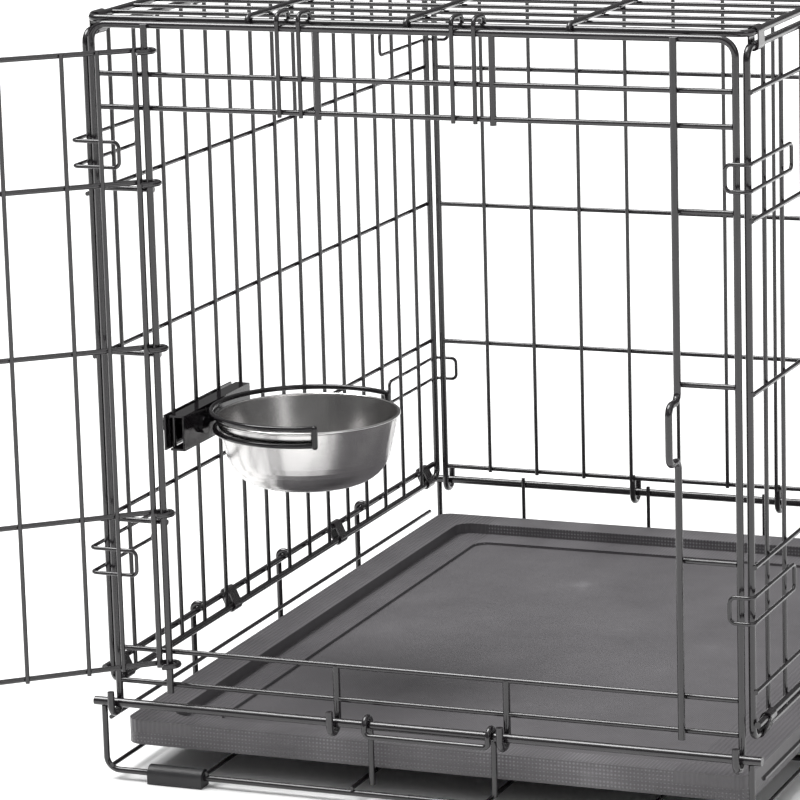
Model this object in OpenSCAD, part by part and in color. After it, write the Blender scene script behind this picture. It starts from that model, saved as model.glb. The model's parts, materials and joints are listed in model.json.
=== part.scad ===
// Folding wire dog crate with a front door, a side door, a slide-out floor pan and a clamp-on bowl.
// Local x runs from the left posts to the right posts, y from the front panel to the back panel,
// and z is height above the ground. placed() moves all of it so the origin is on the ground under the
// middle of the four outer posts.

/* [Crate] */
// Width between the front panel's outer posts
span_w = 440; // [420:5:460]
// Depth between the front and back panels
span_d = 608; // [590:2:624]
// Height of the front and back panels' top rails
top_z = 514; // [505:1:525]
// Height of the hinge bar under the front panel
front_bar_z = 54; // [52:1:56]
// Height of the hinge bar under the back panel
back_bar_z = 62; // [60:1:64]
// Heights of the three long wires on the left, back and right walls
wall_rows = [178.5, 290.5, 400.5];

/* [Wire] */
// Frame wire diameter
frame_d = 4.8; // [4.4:0.1:5.0]
// Crossbar and door wire diameter
cross_d = 3.6; // [3.2:0.1:3.8]
// Mesh wire diameter
mesh_d = 3.0; // [2.6:0.1:3.2]
// Hinge bar diameter
bar_d = 6; // [5:0.5:6.5]
// How deep two welded wires sink into each other
weld = 0.2; // [0.1:0.1:0.3]

/* [Doors] */
// How far the front door stands open
door_open = 138.4; // [0:1:150]
// Width of the front door between its outer uprights
door_w = 346; // [340:1:350]
// Bottom and top of the front door
door_z = [83, 497.5];
// How far the keeper bulges out of the front door's closing post
keeper_out = 18; // [18:1:20]

/* [Pan] */
// Width of the floor pan
pan_w = 443; // [434:1:446]
// Length of the floor pan
pan_l = 592; // [585:1:594]
// Height of the pan's rim
pan_top = 37.5; // [37:0.5:41]

/* [Bowl] */
// Outside radius of the bowl's rim
bowl_r = 65; // [62:1:70]
// Height of the bowl's rim
bowl_z = 222.5; // [215:0.5:235]
// Distance of the bowl's centre behind the front panel
bowl_y = 160; // [155:1:165]

/* [Hidden] */
$fn = 40;

// Repeats of the wire grid
pitch_w = span_w / 11;
pitch_d = span_d / 16;

// Front panel
sill_z = [68, 91];                      // lower and upper sill
lintel_z = [459.5, 481.5];              // lower and upper lintel
bay_rows = [180.5, 295, 405.5];         // short wires beside the doorway
door_post_y = -(frame_d + cross_d) / 2 + weld;
door_post_x = [pitch_w, span_w - pitch_w + 1];
hook_x = [4 * pitch_w, 7 * pitch_w];    // inner hinge hooks and short posts
bar_gap = 1.6;                          // play between a hinge hook and its bar
hook_r = bar_d / 2 + bar_gap + frame_d / 2;
hook_tip = 9;
corner_r = 11;
keeper_z = [247, 285];
front_bar_y = -hook_r;
back_bar_y = span_d + hook_r;
back_top_z = top_z - 6;                 // low enough to swing in under the top panel
bar_over = 15.5;                         // how far each hinge bar passes the posts

// Side panels: a frame, uprights in its plane and long wires outside it
side_gap = 6;                           // from the front panel's posts out to the side frame
side_out = (frame_d + mesh_d) / 2 - 1;  // from the side frame's plane out to its long wires
side_y = [4, span_d - 4];
side_bottom = 65.5;
side_top = 508;
side_door_rows = [96.5, 481];
side_door_posts = [3, 13];              // grid numbers of the side door's posts

// Top panel
roof_z = 516.5;
roof_y = [9.4, span_d - 9.4];
roof_pitch = (roof_y[1] - roof_y[0]) / 18;
roof_rod_x = [span_w / 4, span_w / 2, 3 * span_w / 4];
roof_rod_z = roof_z + frame_d / 2 + mesh_d / 2 - weld;

// Floor panel
ground_z = 6.2;
floor_d = 4.2;
floor_out = 8.5;                        // from the posts out to the floor's end uprights
floor_rows = [4 * pitch_d, 8 * pitch_d, 12 * pitch_d];
floor_rail_out = 4.6;                   // from the side frame's plane out to the floor's side rail
floor_rail_z = side_bottom + 10;
floor_mid_z = 38;
floor_long_x = [66, 172, span_w - 172, span_w - 66];
long_z = ground_z + (floor_d + mesh_d) / 2 - weld;
curl_r = 4.4;                           // from the side rail out to the wires that curl over it
clip_y = [24, 203, 401, 584];

// Pan
pan_x = (span_w - pan_w) / 2;
pan_y = 8;
pan_wall = 2;
pan_side = 26;                          // width of the rim at the sides and back
pan_front = 18;                         // width of the rim at the front
pan_ledge_z = pan_top - 8;
pan_bottom = long_z + mesh_d / 2 + 0.4;
pan_skirt = 20.5;
pan_corner = 11;
stop_x = [184, 271];
stop_d = 4;
stop_r = bar_d / 2 + 0.5 + stop_d / 2;

// Front door, drawn closed in its own frame: x from the hinge axis, y in front of it
hinge_r = 6.3;
door_x0 = 6;
door_inner_x = [31, 55, 97.5, 140, 182.5, 225, 267.5, 299, 323];
door_rows = [187.5, 300, 410.5];
door_row_y = -hinge_r;
bolt_z = (keeper_z[0] + keeper_z[1]) / 2;
bolt_d = 5;
door_frame_d = 4;

// Side door, drawn closed in its own frame: x outwards from the hinge axis, y back from the front
side_hinge_r = 4.4;
side_post_out = 2.8;                    // from the side frame's plane out to the door posts
side_door_z = [106, 471];
side_door_mid = [190, 285, 380];
side_keeper_z = [221, 259];
side_keeper_out = 16;

// Bowl and its clamp
wire_in = -side_gap + mesh_d / 2;       // inner face of the left uprights
wire_out = -side_gap - mesh_d / 2;      // outer face of the left uprights
plate_t = 1.4;
plate_y = [104, 216];
plate_z = [203, 228];
clamp_y = 3.5 * pitch_d;
clamp_z = 216;
ring_d = 3.6;
ring_r = [bowl_r, bowl_r + ring_d / 2 + 0.6];
ring_z = [bowl_z - 9, bowl_z + 3.5];
plate_x = 5.2;                          // inner plate, standing off the uprights on its flanges
bowl_x = plate_x + plate_t + ring_r[1] + ring_d / 2 - weld;
bowl_deep = 49;
bowl_wall = 1;
bowl_corner = [32, 26];                 // centre of the round between the floor and the wall

origin = [span_w / 2, span_d / 2, 0];

function unit(v) = v / norm(v);
function bend_angle(u, v) = acos(min(1, max(-1, u * v)));

module placed() translate(-origin) children();

// A straight round wire from a to b
module rod(a, b, d) {
    v = b - a;
    translate(a) rotate([0, acos(v[2] / norm(v)), atan2(v[1], v[0])]) cylinder(h = norm(v), d = d);
}

// An arc of wire that starts at p heading along u and turns by a degrees towards w
module bend(p, u, w, r, a, d) {
    x = -w;
    z = cross(x, u);
    c = p + w * r;
    multmatrix([[x[0], u[0], z[0], c[0]], [x[1], u[1], z[1], c[1]], [x[2], u[2], z[2], c[2]]])
        rotate_extrude(angle = a) translate([r, 0]) circle(d = d);
}

// A wire through the points, with a round bend of radius r at each inner one
module wire(points, d, r) {
    last = len(points) - 1;
    u = [for (i = [0:last - 1]) unit(points[i + 1] - points[i])];
    a = [for (i = [0:last]) i == 0 || i == last ? 0 : bend_angle(u[i - 1], u[i])];
    cut = [for (i = [0:last]) r * tan(a[i] / 2)];
    for (i = [0:last - 1])
        rod(points[i] + u[i] * cut[i], points[i + 1] - u[i] * cut[i + 1], d);
    for (i = [1:last - 1])
        bend(points[i] - u[i - 1] * cut[i], u[i - 1], unit(u[i] - u[i - 1] * (u[i - 1] * u[i])), r, a[i], d);
}

// A hinge hook's curl: it comes down at x, y, passes under the bar beside it and turns up
module hinge_curl(x, y, bar_z, side) {
    bend([x, y, bar_z], [0, 0, -1], [0, side, 0], hook_r, 180, frame_d);
    rod([x, y + 2 * side * hook_r, bar_z], [x, y + 2 * side * hook_r, bar_z + hook_tip], frame_d);
}

// The frame of the front or back panel: two posts and a top rail bent from one wire, with curled feet
module end_frame(y, bar_z, side, top) {
    wire([[0, y, bar_z], [0, y, top], [span_w, y, top], [span_w, y, bar_z]], frame_d, corner_r);
    for (x = [0, span_w]) hinge_curl(x, y, bar_z, side);
}

// A short hinge hook that starts at height z
module hinge_hook(x, y, z, bar_z, side) {
    rod([x, y, z], [x, y, bar_z], frame_d);
    hinge_curl(x, y, bar_z, side);
}

module rounded_rect(w, l, r) {
    translate([r, 0]) square([w - 2 * r, l]);
    translate([0, r]) square([w, l - 2 * r]);
    for (x = [r, w - r], y = [r, l - r]) translate([x, y]) circle(r);
}

// ---- front panel ----

module front_frame() color("dimgray") placed() end_frame(0, front_bar_z, -1, top_z);

// A door's closing post, with a bump towards -y that the bolt slides behind
module keeper_post(z0, z1, k, out, d) {
    wire([[0, 0, z0], [0, 0, k[0]], [0, -out, k[0]], [0, -out, k[1]], [0, 0, k[1]], [0, 0, z1]], d, 6);
}

module front_door_posts() color("dimgray") placed() {
    y = door_post_y;
    z = [sill_z[0] - 5, top_z + 1];
    rod([door_post_x[0], y, z[0]], [door_post_x[0], y, z[1]], frame_d);
    translate([door_post_x[1], y, 0]) keeper_post(z[0], z[1], keeper_z, keeper_out, frame_d);
}

module front_crossbars() color("dimgray") placed()
    for (z = concat(sill_z, lintel_z)) rod([2.2, 0, z], [span_w - 2.2, 0, z], cross_d);

module front_bay_wires() color("dimgray") placed()
    for (z = bay_rows, x = [2.2, span_w - pitch_w - 1])
        rod([x, 0, z], [x + pitch_w - 1.2, 0, z], cross_d);

module front_short_posts() color("dimgray") placed()
    for (x = hook_x) rod([x, 0, lintel_z[0] - 4], [x, 0, top_z], frame_d - 0.4);

module front_hinge_hooks() color("dimgray") placed()
    for (x = hook_x) {
        y = door_post_y;
        rod([x, 0, sill_z[1]], [x, 0, front_bar_z], frame_d);
        hinge_curl(x, 0, front_bar_z, -1);
    }

module front_top_hooks() color("dimgray") placed() {
    y = [-(cross_d + mesh_d) / 2 + 0.5, roof_y[0] + 7];
    for (x = hook_x, dx = [-26, -11])
        wire([[x + dx, y[0], lintel_z[0] - 3], [x + dx, y[0], roof_z + 7], [x + dx, y[1], roof_z + 7],
            [x + dx, y[1], roof_z - 1]], mesh_d, 5);
}

// ---- side panels; s is -1 for the left one and 1 for the right one ----

function side_x(s, out) = (s < 0 ? 0 : span_w) + s * (side_gap + out);

module side_frame(s) {
    x = side_x(s, 0);
    y = side_y;
    zb = side_bottom;
    mid = span_d / 2;
    wire([[x, mid, side_top], [x, y[0], side_top], [x, y[0], zb], [x, mid, zb]], frame_d, 8);
    wire([[x, mid, side_top], [x, y[1], side_top], [x, y[1], zb], [x, mid, zb]], frame_d, 8);
}

module side_upright(s, k, z0, z1, d) rod([side_x(s, 0), k * pitch_d, z0], [side_x(s, 0), k * pitch_d, z1], d);

module side_long(s, z, k0, k1) {
    x = side_x(s, side_out);
    y0 = k0 == 0 ? side_y[0] - 2 : k0 * pitch_d - 2;
    y1 = k1 == 16 ? side_y[1] + 2 : k1 * pitch_d + 2;
    rod([x, y0, z], [x, y1, z], mesh_d);
}

// A closed flat loop of wire on the side's outer face, whose end is bent round in front of the posts
module corner_loop(s, z, front) {
    out = side_x(s, side_out + mesh_d - weld);
    toe = side_x(s, front ? (s < 0 ? -28 : -10) : -13);
    h = 17;
    f = front ? 1 : -1;
    y0 = front ? 0 : span_d;
    pts = [[out, y0 + f * (s < 0 ? 86 : 79), 0], [out, y0 - f * 11, 0], [toe, y0 - f * 11, 0]];
    up = [0, 0, h];
    base = [0, 0, z];
    wire([pts[0] + base + up / 2, pts[0] + base, pts[1] + base, pts[2] + base, pts[2] + base + up,
        pts[1] + base + up, pts[0] + base + up, pts[0] + base + up / 2], mesh_d - 0.4, 4);
}

module corner_loops(s) for (front = [true, false], z = [145, 421]) corner_loop(s, z, front);

module left_side_frame() color("dimgray") placed() side_frame(-1);
module left_side_uprights() color("dimgray") placed()
    for (k = [1:15]) side_upright(-1, k, side_bottom, side_top, mesh_d);
module left_side_crosswires() color("dimgray") placed()
    for (z = wall_rows) side_long(-1, z, 0, 16);
module left_corner_loops() color("dimgray") placed() corner_loops(-1);

module right_side_frame() color("dimgray") placed() side_frame(1);
module right_side_uprights() color("dimgray") placed() {
    for (k = [1, 2, 14, 15]) side_upright(1, k, side_bottom, side_top, mesh_d);
    for (k = [6, 10]) {
        side_upright(1, k, side_bottom, side_door_rows[0] + 3, mesh_d);
        side_upright(1, k, side_door_rows[1] - 3, side_top, mesh_d);
    }
}
module right_side_crosswires() color("dimgray") placed() {
    for (z = side_door_rows) side_long(1, z, 0, 16);
    for (z = wall_rows) {
        side_long(1, z, 0, side_door_posts[0]);
        side_long(1, z, side_door_posts[1], 16);
    }
}
module right_door_posts() color("dimgray") placed() {
    y = side_door_posts[0] * pitch_d;
    x = side_x(1, side_post_out);
    y1 = side_door_posts[1] * pitch_d;
    rod([x, y1, side_bottom], [x, y1, side_top], frame_d - 0.4);
    translate([x, y, 0]) rotate(90)
        keeper_post(side_bottom, side_top, side_keeper_z, side_keeper_out, frame_d - 0.4);
}
module right_corner_loops() color("dimgray") placed() corner_loops(1);

// ---- top panel ----

module top_frame() color("dimgray") placed() {
    x = [side_x(-1, 0), side_x(1, 0)];
    y = roof_y;
    mid = span_w / 2;
    for (k = [0, 1])
        wire([[mid, y[0], roof_z], [x[k], y[0], roof_z], [x[k], y[1], roof_z], [mid, y[1], roof_z]],
            frame_d, 7);
}

module top_cross_wires() color("dimgray") placed()
    for (k = [1:17]) {
        y = roof_y[0] + k * roof_pitch;
        rod([side_x(-1, -2.2), y, roof_z], [side_x(1, -2.2), y, roof_z], mesh_d);
    }

module top_long_rods() color("dimgray") placed() {
    z = roof_rod_z;
    for (x = roof_rod_x)
        wire([[x, roof_y[0] - 4.6, z - 8], [x, roof_y[0] - 4.6, z], [x, roof_y[1] + 4.6, z],
            [x, roof_y[1] + 4.6, z - 8]], frame_d - 1.2, 4);
}

// A strip of sheet metal wrapped round two wires, dz apart, with play for both to turn
module hinge_clip(x, y, z, dx, dz, l) {
    r = frame_d / 2 + 0.3;
    t = 1;
    far = norm([dx, dz]);
    translate([x, y - l / 2, z]) rotate([0, atan2(dx, dz), 0]) rotate([-90, 0, 0]) mirror([0, 1, 0])
        linear_extrude(l) difference() {
            union() {
                circle(r + t);
                translate([0, far]) circle(r + t);
                translate([-r - t, 0]) square([2 * (r + t), far]);
            }
            circle(r);
            translate([0, far]) circle(r);
            translate([-r, 0]) square([2 * r, far]);
        }
}

module top_hinge_clips() color("gray") placed()
    for (s = [-1, 1], y = [24, 181, 391, span_d - 24])
        hinge_clip(side_x(s, 0), y, side_top, 0, roof_z - side_top, 12);

// ---- floor panel ----

module front_hinge_bar() color("dimgray") placed()
    rod([-bar_over, front_bar_y, front_bar_z], [span_w + bar_over, front_bar_y, front_bar_z], bar_d);
module back_hinge_bar() color("dimgray") placed()
    rod([-bar_over, back_bar_y, back_bar_z], [span_w + bar_over, back_bar_y, back_bar_z], bar_d);

// The ground wires at the front and back, whose ends rise to the hinge bars
module floor_end_wires() color("dimgray") placed()
    for (e = [[front_bar_y, front_bar_z], [back_bar_y, back_bar_z]]) {
        z = e[1] - bar_d / 2 + weld;
        wire([[-floor_out, e[0], z], [-floor_out, e[0], ground_z],
            [span_w + floor_out, e[0], ground_z], [span_w + floor_out, e[0], z]], floor_d, 9);
    }

// The ground wires across the crate, whose ends rise and curl over the side rails
module floor_cross_wires() color("dimgray") placed()
    for (y = floor_rows) {
        x = [side_x(-1, floor_rail_out + curl_r), side_x(1, floor_rail_out + curl_r)];
        z = floor_rail_z;
        wire([[x[0], y, z], [x[0], y, ground_z], [x[1], y, ground_z], [x[1], y, z]], floor_d, 9);
        bend([x[0], y, z], [0, 0, 1], [1, 0, 0], curl_r, 115, floor_d);
        bend([x[1], y, z], [0, 0, 1], [-1, 0, 0], curl_r, 115, floor_d);
    }

module floor_long_wires() color("dimgray") placed()
    for (x = floor_long_x)
        wire([[x, front_bar_y - 2, long_z], [x, back_bar_y - 4.3, long_z],
            [x, back_bar_y - 4.3, back_bar_z + 6]], mesh_d, 6);

module floor_side_wires() color("dimgray") placed()
    for (x = [-4, span_w + 4])
        rod([x, front_bar_y - 2, long_z], [x, back_bar_y + 2, long_z], mesh_d);

module floor_side_rails() color("dimgray") placed()
    for (s = [-1, 1]) {
        x = [side_x(s, floor_rail_out), side_x(s, floor_rail_out + curl_r - (floor_d + mesh_d) / 2 + weld)];
        rod([x[0], side_y[0] - 4, floor_rail_z], [x[0], side_y[1] + 4, floor_rail_z], frame_d - 0.4);
        rod([x[1], 8, floor_mid_z], [x[1], span_d - 8, floor_mid_z], mesh_d);
    }

module floor_hinge_clips() color("gray") placed()
    for (s = [-1, 1], y = clip_y)
        hinge_clip(side_x(s, 0), y, side_bottom, s * floor_rail_out, floor_rail_z - side_bottom, 12);

// Round plastic sleeves that snap over the front and back ground wires
module feet() color("darkslategray") placed()
    for (x = [24, span_w - 64], y = [front_bar_y, back_bar_y])
        translate([x, y, ground_z]) rotate([0, 90, 0]) difference() {
            union() {
                cylinder(h = 40, r = ground_z);
                translate([0, -ground_z, 0]) cube([ground_z, 2 * ground_z, 40]);
            }
            translate([0, 0, -1]) cylinder(h = 42, d = floor_d + 0.2);
        }

// ---- pan and its stop ----

// The pan's outline moved in by a at the sides and back and by f at the front
module pan_outline(a, f, r) translate([a, f]) rounded_rect(pan_w - 2 * a, pan_l - a - f, r);

// Rim with an outer skirt and a short inner wall, open below
module pan_rim() color("slategray") placed() translate([pan_x, pan_y, 0]) difference() {
    w = pan_wall;
    translate([0, 0, pan_skirt]) linear_extrude(pan_top - pan_skirt) pan_outline(0, 0, pan_corner);
    translate([0, 0, pan_skirt - 1]) linear_extrude(pan_ledge_z - pan_skirt + 1)
        pan_outline(w, w, pan_corner - w);
    translate([0, 0, pan_ledge_z - 1]) linear_extrude(pan_top - pan_ledge_z - w + 1) difference() {
        pan_outline(w, w, pan_corner - w);
        pan_outline(pan_side - w, pan_front - w, 14);
    }
    translate([0, 0, pan_skirt - 1]) linear_extrude(30) pan_outline(pan_side, pan_front, 12);
}

// Floor of the pan with a raised ledge round it and ribs that stand on the floor wires
module pan_tray() color("slategray") placed() translate([pan_x, pan_y, 0]) {
    w = pan_wall;
    difference() {
        translate([0, 0, pan_ledge_z - 2 * w]) linear_extrude(2 * w)
            pan_outline(pan_side - w, pan_front - w, 14);
        translate([0, 0, pan_ledge_z - w]) linear_extrude(2 * w)
            pan_outline(pan_side + 24, pan_front + 22, 12);
    }
    for (x = [0.25, 0.5, 0.75] * pan_w)
        translate([x - 3, 56, pan_bottom]) cube([6, pan_l - 112, pan_ledge_z - 2 * w - pan_bottom + 0.1]);
}

// A bail that hangs from the front hinge bar by two hooks, with a leg in front of the pan under each
module pan_stop() color("dimgray") placed() {
    y = [front_bar_y - stop_r, front_bar_y + stop_r];
    z = front_bar_z;
    for (x = stop_x) {
        bend([x, y[1], z], [0, 0, 1], [0, -1, 0], stop_r, 180, stop_d);
        rod([x, y[1], ground_z + 5], [x, y[1], z], stop_d);
    }
    wire([[stop_x[0], y[0], z], [stop_x[0], y[0], z - 6], [stop_x[1], y[0], z - 6], [stop_x[1], y[0], z]],
        stop_d, 3.4);
}

// ---- back panel ----

module back_frame() color("dimgray") placed() end_frame(span_d, back_bar_z, 1, back_top_z);
module back_uprights() color("dimgray") placed()
    for (k = [1:10]) {
        y = span_d - (cross_d + mesh_d) / 2 + weld;
        rod([k * pitch_w, y, 73], [k * pitch_w, y, back_top_z + 1], mesh_d);
    }
module back_crosswires() color("dimgray") placed()
    for (z = concat([75], wall_rows)) rod([2.2, span_d, z], [span_w - 2.2, span_d, z], cross_d);
module back_hinge_hooks() color("dimgray") placed()
    for (x = hook_x) hinge_hook(x, span_d, 77, back_bar_z, 1);

// ---- front door ----

// Turns what is drawn closed, with x from the hinge axis and y from its centre, to where the door stands
module door_at() placed() translate([door_post_x[0], door_post_y, 0]) rotate(-door_open) children();

// Crossbar of a door that turns round the post at the origin and comes back behind it
module hinged_bar(r, z, to, d) {
    rod([0, -r, z], [to, -r, z], d);
    bend([0, -r, z], [-1, 0, 0], [0, 1, 0], r, 180, d);
    rod([0, r, z], [7, r, z], d);
}

module door_frame() color("dimgray") door_at() {
    y = door_row_y + (door_frame_d + cross_d) / 2 - weld;
    for (x = [door_x0, door_x0 + door_w])
        rod([x, y, door_z[0] - 2], [x, y, door_z[1] + 2], door_frame_d);
}
module door_uprights() color("dimgray") door_at() {
    y = door_row_y + (mesh_d + cross_d) / 2 - weld;
    for (x = door_inner_x) rod([x, y, door_z[0] - 2], [x, y, door_z[1] + 2], mesh_d);
}
module door_crossbars() color("dimgray") door_at()
    for (z = concat([door_z[0]], door_rows, [door_z[1]]))
        hinged_bar(hinge_r, z, door_x0 + door_w + 2, cross_d);

// Sheet plate with two lugs that guide the bolt; x0 is its free edge, and it is welded to a bar at its top
module latch_plate(x0, y, z, z_top, guide_y) {
    w = 44;
    t = 1.2;
    difference() {
        union() {
            translate([x0 - w, y - t, z - 20]) cube([w, t, z_top - z + 20]);
            for (x = [x0 - w, x0 - 4]) {
                translate([x, guide_y, z]) rotate([0, 90, 0]) cylinder(h = 4, r = bolt_d / 2 + 1.6);
                translate([x, guide_y, z - 3]) cube([4, y - t / 2 - guide_y, 6]);
            }
        }
        translate([x0 - w - 1, guide_y, z]) rotate([0, 90, 0]) cylinder(h = w + 2, r = bolt_d / 2 + 0.1);
    }
}
module latch_bolt(x0, z, y) rod([x0 - 46, y, z], [x0 + 2, y, z], bolt_d);
// A stem and a round grip on the bolt
module latch_knob(x0, z, y) {
    translate([x0 - 36.4, y - 16, z]) rotate([-90, 0, 0]) cylinder(h = 16 - bolt_d / 2 + 0.3, r = 3);
    translate([x0 - 36.4, y - 15.9, z]) rotate([90, 0, 0]) cylinder(h = 5, r = 7);
}
latch_plate_y = door_row_y - cross_d / 2 + weld;
latch_guide_y = latch_plate_y - 1.2 - bolt_d / 2 - 0.4;
latch_x = door_x0 + door_w - 3;

module door_latch_plate() color("gray") door_at()
    latch_plate(latch_x, latch_plate_y, bolt_z, door_rows[1] + 3, latch_guide_y);
module door_bolt() color("silver") door_at() latch_bolt(latch_x, bolt_z, latch_guide_y);
module door_bolt_knob() color("dimgray") door_at() latch_knob(latch_x, bolt_z, latch_guide_y);

// ---- side door ----

// Turns what is drawn like the front door to the right wall, hinged on its rear post
module side_door_at() placed()
    translate([side_x(1, side_post_out), side_door_posts[1] * pitch_d, 0]) mirror([1, 1, 0]) children();

side_w = (side_door_posts[1] - side_door_posts[0]) * pitch_d - 16;
side_row_y = -side_hinge_r;
side_inner_x = [for (k = [1:8]) 6 + k * (side_w / 9)];

module side_door_frame() color("dimgray") side_door_at() {
    y = side_row_y + (door_frame_d + cross_d) / 2 - weld;
    for (x = [6, 6 + side_w]) rod([x, y, side_door_z[0] - 2], [x, y, side_door_z[1] + 2], door_frame_d);
}
module side_door_uprights() color("dimgray") side_door_at() {
    y = side_row_y + (mesh_d + cross_d) / 2 - weld;
    for (x = side_inner_x) rod([x, y, side_door_z[0] - 2], [x, y, side_door_z[1] + 2], mesh_d);
}
module side_door_crossbars() color("dimgray") side_door_at()
    for (z = concat([side_door_z[0]], side_door_mid, [side_door_z[1]]))
        hinged_bar(side_hinge_r, z, 8 + side_w, cross_d);

side_plate_y = side_row_y - cross_d / 2 + weld;
side_guide_y = side_plate_y - 1.2 - bolt_d / 2 - 0.4;
side_latch_x = 3 + side_w;
side_bolt_z = 240;
module side_door_latch_plate() color("gray") side_door_at()
    latch_plate(side_latch_x, side_plate_y, side_bolt_z, side_door_mid[1] + 3, side_guide_y);
module side_door_bolt() color("silver") side_door_at() latch_bolt(side_latch_x, side_bolt_z, side_guide_y);
module side_door_bolt_knob() color("dimgray") side_door_at()
    latch_knob(side_latch_x, side_bolt_z, side_guide_y);

// ---- bowl and its clamp ----

function bowl_round(r) = [for (k = [0:9])
    [bowl_corner[0] + r * cos(k * 8.7 - 90), bowl_corner[1] + r * sin(k * 8.7 - 90)]];

// Flat-bottomed bowl with a deeply rounded wall and a beaded rim
module bowl() color("lightgray") placed() translate([bowl_x, bowl_y, bowl_z - bowl_deep]) {
    r = bowl_corner[1];
    t = bowl_wall;
    in = bowl_round(r - t);
    edge = bowl_r - 0.9;
    rotate_extrude($fn = 96) {
        polygon(concat([[0, 0]], bowl_round(r), [[edge, bowl_deep - 1], [edge - t, bowl_deep - 1]],
            [for (k = [9:-1:0]) in[k]], [[0, t]]));
        translate([bowl_r - 1.1, bowl_deep - 1.1]) circle(r = 1.1, $fn = 24);
    }
}

// Two wires round the bowl, joined at both ends. The upper one is welded to the inner plate.
module bowl_holder() color("dimgray") placed() translate([bowl_x, bowl_y, 0]) {
    gap = [57, 297];
    for (k = [0, 1])
        translate([0, 0, ring_z[k]]) rotate(gap[0]) rotate_extrude(angle = gap[1] - gap[0], $fn = 96)
            translate([ring_r[k], 0]) circle(d = ring_d, $fn = 24);
    for (a = gap) rotate(a) translate([ring_r[1] + 0.5, 0, 0]) {
        rod([0, 0, ring_z[0]], [0, 0, ring_z[1]], ring_d + 0.8);
        for (z = ring_z) translate([0, 0, z]) sphere(d = ring_d + 0.8);
    }
}

module clamp_hole() translate([-50, clamp_y, clamp_z]) rotate([0, 90, 0]) cylinder(h = 100, d = 6.4);

// A plate whose long edges are turned back to bear on the uprights
module clamp_plate_inner() color("dimgray") placed() difference() {
    w = plate_y[1] - plate_y[0];
    x0 = wire_in + 0.1;
    translate([x0, plate_y[0], plate_z[0]]) cube([plate_x + plate_t - x0, w, plate_z[1] - plate_z[0]]);
    translate([x0 - 1, plate_y[0] - 1, plate_z[0] + plate_t])
        cube([plate_x - x0 + 1, w + 2, plate_z[1] - plate_z[0] - 2 * plate_t]);
    clamp_hole();
}
module clamp_plate_outer() color("dimgray") placed() difference() {
    translate([wire_out - plate_t - 0.1, plate_y[0], plate_z[0]])
        cube([plate_t, plate_y[1] - plate_y[0], plate_z[1] - plate_z[0]]);
    clamp_hole();
}

module clamp_bolt() color("dimgray") placed() translate([0, clamp_y, clamp_z]) {
    x0 = wire_out - plate_t - 14;
    x1 = plate_x + plate_t + 0.2;
    translate([x0, 0, 0]) rotate([0, 90, 0]) cylinder(h = x1 - x0 + 1, d = 6);
    translate([x1, 0, 0]) rotate([0, 90, 0]) cylinder(h = 3, d = 12);
}

module wing_nut() color("dimgray") placed() translate([wire_out - plate_t - 8.4, clamp_y, clamp_z]) difference() {
    union() {
        rotate([0, 90, 0]) cylinder(h = 8, d = 12);
        for (a = [0, 180]) rotate([a, 0, 0]) translate([1, 4, -2]) cube([6, 12, 4]);
    }
    translate([-1, 0, 0]) rotate([0, 90, 0]) cylinder(h = 10, d = 6.1);
}

front_frame();
front_door_posts();
front_crossbars();
front_bay_wires();
front_short_posts();
front_hinge_hooks();
front_top_hooks();
left_side_frame();
left_side_uprights();
left_side_crosswires();
left_corner_loops();
right_side_frame();
right_side_uprights();
right_side_crosswires();
right_door_posts();
right_corner_loops();
top_frame();
top_cross_wires();
top_long_rods();
top_hinge_clips();
floor_end_wires();
floor_cross_wires();
floor_long_wires();
floor_side_wires();
floor_side_rails();
front_hinge_bar();
back_hinge_bar();
floor_hinge_clips();
feet();
pan_rim();
pan_tray();
pan_stop();
back_frame();
back_uprights();
back_crosswires();
back_hinge_hooks();
door_frame();
door_uprights();
door_crossbars();
door_latch_plate();
door_bolt();
door_bolt_knob();
side_door_frame();
side_door_uprights();
side_door_crossbars();
side_door_latch_plate();
side_door_bolt();
side_door_bolt_knob();
bowl();
bowl_holder();
clamp_plate_inner();
clamp_plate_outer();
clamp_bolt();
wing_nut();
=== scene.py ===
import json
import math
import bpy
from mathutils import Matrix, Vector

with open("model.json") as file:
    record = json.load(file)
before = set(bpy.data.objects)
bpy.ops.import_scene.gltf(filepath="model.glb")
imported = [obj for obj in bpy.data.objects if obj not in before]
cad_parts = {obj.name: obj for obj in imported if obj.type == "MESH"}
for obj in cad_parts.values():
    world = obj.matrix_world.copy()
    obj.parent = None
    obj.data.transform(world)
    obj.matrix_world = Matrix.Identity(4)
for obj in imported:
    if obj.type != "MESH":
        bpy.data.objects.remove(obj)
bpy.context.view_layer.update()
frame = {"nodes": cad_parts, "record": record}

NODES = frame["nodes"]
scene = bpy.context.scene
scene.view_settings.view_transform = "Standard"
scene.view_settings.look = "None"

# ---- named values, in metres unless said otherwise ----

# coated metal: noise scales and depth of the fine grain
TONE_SCALE = 45.0
GLOSS_SCALE = 120.0
GRAIN_SCALE = 700.0
GRAIN_DETAIL = 2.0
GRAIN_DEPTH = 0.0004
COAT_ROUGHNESS = 0.12

# bowl steel
BOWL_TONE_SCALE = 25.0
BOWL_GLOSS_SCALE = 60.0
BOWL_ROUGHNESS = (0.16, 0.28)
BOWL_GRAIN_SCALE = 300.0
BOWL_GRAIN_STRENGTH = 0.05
BOWL_GRAIN_DEPTH = 0.0003

# pan plastic
PAN_TONE_SCALE = 18.0
PAN_TONE_DETAIL = 5.0
PAN_GLOSS_SCALE = 90.0
PAN_ROUGHNESS = (0.34, 0.46)
PAN_GRAIN_SCALE = 1500.0
PAN_GRAIN_STRENGTH = 0.25
PAN_GRAIN_DEPTH = 0.0002

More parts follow.
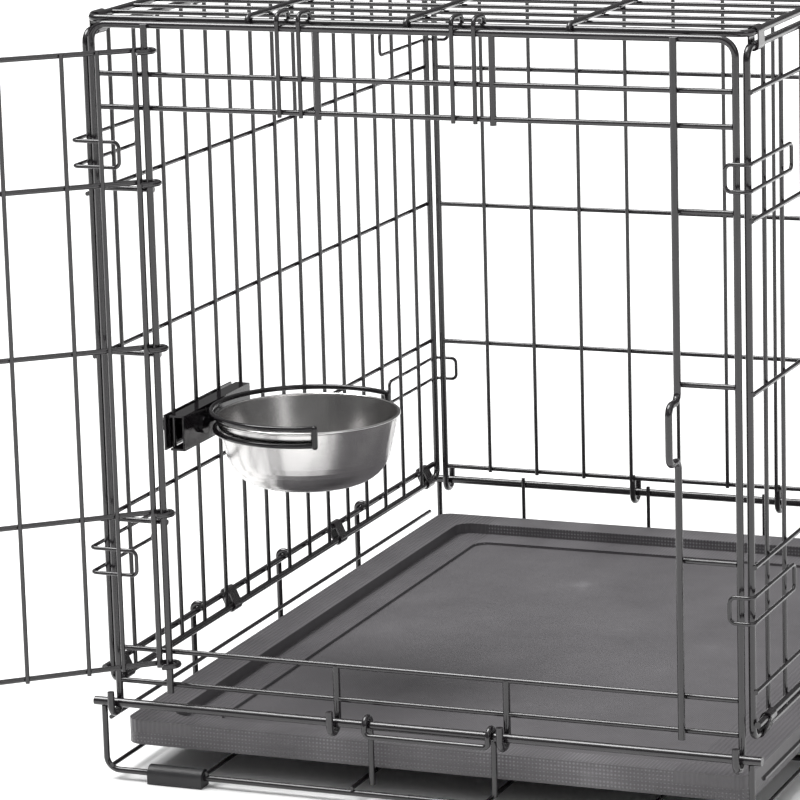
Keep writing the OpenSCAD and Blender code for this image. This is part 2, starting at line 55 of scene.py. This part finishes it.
# moulded pan: where its floor and side rims lie, and the pitch and height of each moulded pattern
PAN_FLOOR_Z = 0.0275
PAN_FLOOR_BAND = 0.0006
PAN_RIM_Z = 0.0290
PAN_RIM_X = 0.1705
DOT_PITCH = 0.0052
HATCH_PITCH = 0.0030
RIB_PITCH = 0.0034
PATTERN_STRENGTH = 0.75
PATTERN_DEPTH = 0.0006
HATCH_HEIGHT = 0.30
RIB_HEIGHT = 0.45
# how much lighter the raised dots are painted: a painted highlight, not the plastic's own colour
DOT_PAINTED_HIGHLIGHT = 0.45

# stage
FLOOR_SIZE = 60.0
FLOOR_Z = -0.0004
FLOOR_TONE_SCALE = 0.6
FLOOR_ROUGHNESS = 0.6
SUN_HEIGHT = 3.0

# camera: millimetres for the lens, degrees for the turns
CAMERA_LENS = 184.06
CAMERA_SENSOR = 36.0
CAMERA_PLACE = (0.9711, -2.6942, 0.8507)
CAMERA_YAW = 22.2954
CAMERA_PITCH = 12.5847
CAMERA_ROLL = -1.6277
CAMERA_CLIP_END = 100.0


# ---- materials ----

def new_material(name):
    m = bpy.data.materials.new(name)
    m.use_nodes = True
    return m, m.node_tree.nodes, m.node_tree.links, m.node_tree.nodes["Principled BSDF"]


def noise(nodes, links, coord, scale, detail=3.0):
    n = nodes.new("ShaderNodeTexNoise")
    n.inputs["Scale"].default_value = scale
    n.inputs["Detail"].default_value = detail
    links.new(coord, n.inputs["Vector"])
    return n.outputs["Fac"]


def ramp(nodes, links, fac, stops):
    r = nodes.new("ShaderNodeValToRGB")
    first, last = r.color_ramp.elements
    first.position, last.position = stops[0][0], stops[-1][0]
    first.color, last.color = (*stops[0][1], 1), (*stops[-1][1], 1)
    for place, colour in stops[1:-1]:
        r.color_ramp.elements.new(place).color = (*colour, 1)
    links.new(fac, r.inputs["Fac"])
    return r.outputs["Color"]


def span(nodes, links, fac, low, high):
    r = nodes.new("ShaderNodeMapRange")
    r.inputs["To Min"].default_value = low
    r.inputs["To Max"].default_value = high
    links.new(fac, r.inputs["Value"])
    return r.outputs["Result"]


def bump(nodes, links, height, strength, distance, normal=None):
    b = nodes.new("ShaderNodeBump")
    b.inputs["Strength"].default_value = strength
    b.inputs["Distance"].default_value = distance
    links.new(height, b.inputs["Height"])
    if normal is not None:
        links.new(normal, b.inputs["Normal"])
    return b.outputs["Normal"]


def paint(name, dark, light, rough, lumps, coat=0.0, specular=0.5):
    """Coated or painted metal, or smooth plastic: a mottled tone, uneven gloss and a fine grain."""
    m, nodes, links, bsdf = new_material(name)
    coord = nodes.new("ShaderNodeTexCoord").outputs["Object"]
    tone = noise(nodes, links, coord, TONE_SCALE)
    gloss = noise(nodes, links, coord, GLOSS_SCALE)
    grain = noise(nodes, links, coord, GRAIN_SCALE, GRAIN_DETAIL)
    links.new(ramp(nodes, links, tone, [(0.3, dark), (0.7, light)]), bsdf.inputs["Base Color"])
    links.new(span(nodes, links, gloss, *rough), bsdf.inputs["Roughness"])
    links.new(bump(nodes, links, grain, lumps, GRAIN_DEPTH), bsdf.inputs["Normal"])
    bsdf.inputs["Specular IOR Level"].default_value = specular
    bsdf.inputs["Coat Weight"].default_value = coat
    bsdf.inputs["Coat Roughness"].default_value = COAT_ROUGHNESS
    return m


def bowl_material():
    m, nodes, links, bsdf = new_material("bowl_steel")
    coord = nodes.new("ShaderNodeTexCoord").outputs["Object"]
    tone = ramp(nodes, links, noise(nodes, links, coord, BOWL_TONE_SCALE),
                [(0.3, (0.50, 0.49, 0.49)), (0.7, (0.64, 0.63, 0.62))])
    links.new(tone, bsdf.inputs["Base Color"])
    gloss = noise(nodes, links, coord, BOWL_GLOSS_SCALE)
    links.new(span(nodes, links, gloss, *BOWL_ROUGHNESS), bsdf.inputs["Roughness"])
    grain = noise(nodes, links, coord, BOWL_GRAIN_SCALE)
    surface = bump(nodes, links, grain, BOWL_GRAIN_STRENGTH, BOWL_GRAIN_DEPTH)
    links.new(surface, bsdf.inputs["Normal"])
    bsdf.inputs["Metallic"].default_value = 1.0
    return m


def pan_material():
    """Moulded plastic: dots on the skirt, end rims and walls, ribs on the side rims, a hatched floor."""
    m, nodes, links, bsdf = new_material("pan_plastic")
    coord = nodes.new("ShaderNodeTexCoord").outputs["Object"]
    axes = nodes.new("ShaderNodeSeparateXYZ")
    links.new(coord, axes.inputs[0])
    x, y, z = axes.outputs

    def op(name, a, b=0.0):
        n = nodes.new("ShaderNodeMath")
        n.operation = name
        for value, socket in ((a, n.inputs[0]), (b, n.inputs[1])):
            if isinstance(value, (int, float)):
                socket.default_value = value
            else:
                links.new(value, socket)
        return n.outputs[0]

    def wave(v, pitch):
        return op("SINE", op("MULTIPLY", v, 2 * math.pi / pitch))

    def diamonds(pitch):
        yz = op("ADD", y, z)
        return op("MULTIPLY", wave(op("ADD", x, yz), pitch), wave(op("SUBTRACT", x, yz), pitch))

    edge = op("GREATER_THAN", op("ABSOLUTE", x), PAN_RIM_X)
    high = op("GREATER_THAN", z, PAN_RIM_Z)
    side = op("MULTIPLY", edge, high)
    floor = op("LESS_THAN", op("ABSOLUTE", op("SUBTRACT", z, PAN_FLOOR_Z)), PAN_FLOOR_BAND)
    plain = op("SUBTRACT", 1.0, op("MAXIMUM", side, floor))
    dots = op("MULTIPLY", op("MAXIMUM", diamonds(DOT_PITCH), 0.0), plain)
    hatch = op("MULTIPLY", diamonds(HATCH_PITCH), op("MULTIPLY", floor, HATCH_HEIGHT))
    ribs = op("MULTIPLY", wave(x, RIB_PITCH), op("MULTIPLY", side, RIB_HEIGHT))
    pattern = op("ADD", op("ADD", dots, hatch), ribs)
    shape = bump(nodes, links, pattern, PATTERN_STRENGTH, PATTERN_DEPTH)
    grain = noise(nodes, links, coord, PAN_GRAIN_SCALE, GRAIN_DETAIL)
    surface = bump(nodes, links, grain, PAN_GRAIN_STRENGTH, PAN_GRAIN_DEPTH, shape)
    links.new(surface, bsdf.inputs["Normal"])

    # the raised dots are also painted lighter, a painted highlight on each dot that the ramp's top stop
    # carries
    mottle = noise(nodes, links, coord, PAN_TONE_SCALE, PAN_TONE_DETAIL)
    tone = op("ADD", mottle, op("MULTIPLY", dots, DOT_PAINTED_HIGHLIGHT))
    colour = ramp(nodes, links, tone, [(0.3, (0.080, 0.076, 0.081)), (0.7, (0.106, 0.101, 0.107)),
                                       (1.0, (0.230, 0.224, 0.235))])
    links.new(colour, bsdf.inputs["Base Color"])
    gloss = noise(nodes, links, coord, PAN_GLOSS_SCALE)
    links.new(span(nodes, links, gloss, *PAN_ROUGHNESS), bsdf.inputs["Roughness"])
    return m


SLOT_MATERIAL = {
    "coated_wire": paint("wire_coat", (0.009, 0.008, 0.009), (0.016, 0.014, 0.016), (0.16, 0.25),
                         lumps=0.10, coat=0.35),
    "sheet_clip": paint("clip_coat", (0.010, 0.008, 0.009), (0.018, 0.015, 0.017), (0.20, 0.30),
                        lumps=0.15, coat=0.5),
    "clamp_black": paint("clamp_gloss", (0.005, 0.004, 0.005), (0.010, 0.009, 0.010), (0.10, 0.18),
                         lumps=0.1, coat=0.2, specular=0.35),
    "black_plastic": paint("black_plastic", (0.012, 0.012, 0.013), (0.020, 0.019, 0.021),
                           (0.38, 0.52), lumps=0.4),
    "bolt_steel": paint("bolt_coat", (0.012, 0.010, 0.011), (0.020, 0.017, 0.019), (0.16, 0.24),
                        lumps=0.1, coat=0.35),
    "bowl_steel": bowl_material(),
    "pan_plastic": pan_material(),
}

for sub in frame["record"]["subparts"]:
    node = NODES[sub["node"]]
    node.data.materials.clear()
    node.data.materials.append(SLOT_MATERIAL[sub["material_slot"]])


# ---- stage ----

def floor_material():
    m, nodes, links, bsdf = new_material("studio_floor")
    coord = nodes.new("ShaderNodeTexCoord").outputs["Object"]
    tone = ramp(nodes, links, noise(nodes, links, coord, FLOOR_TONE_SCALE),
                [(0.3, (0.90, 0.90, 0.90)), (0.7, (0.93, 0.93, 0.93))])
    links.new(tone, bsdf.inputs["Base Color"])
    bsdf.inputs["Roughness"].default_value = FLOOR_ROUGHNESS
    return m


def studio_floor():
    mesh = bpy.data.meshes.new("studio_floor")
    h = FLOOR_SIZE / 2
    mesh.from_pydata([(-h, -h, 0), (h, -h, 0), (h, h, 0), (-h, h, 0)], [], [(0, 1, 2, 3)])
    mesh.materials.append(floor_material())
    o = bpy.data.objects.new("studio_floor", mesh)
    scene.collection.objects.link(o)
    o.location = (0, 0, FLOOR_Z)


def studio_world():
    """A sky that is dim at the horizon and bright overhead, like a ceiling of soft boxes."""
    world = bpy.data.worlds.new("studio")
    scene.world = world
    world.use_nodes = True
    nodes, links = world.node_tree.nodes, world.node_tree.links
    coord = nodes.new("ShaderNodeTexCoord").outputs["Generated"]
    axes = nodes.new("ShaderNodeSeparateXYZ")
    links.new(coord, axes.inputs[0])
    greys = [(0.0, 0.20), (0.35, 0.16), (0.7, 0.55), (1.0, 1.2)]
    sky = ramp(nodes, links, axes.outputs["Z"], [(place, (g, g, g)) for place, g in greys])
    links.new(sky, nodes["Background"].inputs["Color"])


def soft_sun(name, direction, strength, angle):
    data = bpy.data.lights.new(name, "SUN")
    data.energy = strength
    data.angle = math.radians(angle)
    o = bpy.data.objects.new(name, data)
    scene.collection.objects.link(o)
    o.location = (0, 0, SUN_HEIGHT)
    o.rotation_euler = Vector(direction).to_track_quat("-Z", "Y").to_euler()


studio_floor()
studio_world()
# from the upper left, so that the crossbars catch a highlight along their length
soft_sun("top_box", (0.37, 0.08, -0.92), strength=4.3, angle=40)
soft_sun("side_box", (-0.9, 0.55, -0.6), strength=0.35, angle=30)


# ---- camera ----

def set_camera():
    """The photograph's viewing angle: yaw from +Y towards -X, pitch down, then roll about the view."""
    data = bpy.data.cameras.new("camera")
    cam = bpy.data.objects.new("camera", data)
    scene.collection.objects.link(cam)
    data.sensor_width = CAMERA_SENSOR
    data.lens = CAMERA_LENS
    data.clip_end = CAMERA_CLIP_END
    yaw, pitch, roll = (math.radians(a) for a in (CAMERA_YAW, CAMERA_PITCH, CAMERA_ROLL))
    forward = Vector((-math.sin(yaw) * math.cos(pitch), math.cos(yaw) * math.cos(pitch),
                      -math.sin(pitch)))
    level_right = Vector((math.cos(yaw), math.sin(yaw), 0))
    level_up = level_right.cross(forward)
    right = level_right * math.cos(roll) + level_up * math.sin(roll)
    up = level_up * math.cos(roll) - level_right * math.sin(roll)
    m = Matrix((right, up, -forward)).transposed().to_4x4()
    m.translation = Vector(CAMERA_PLACE)
    cam.matrix_world = m
    scene.camera = cam


set_camera()
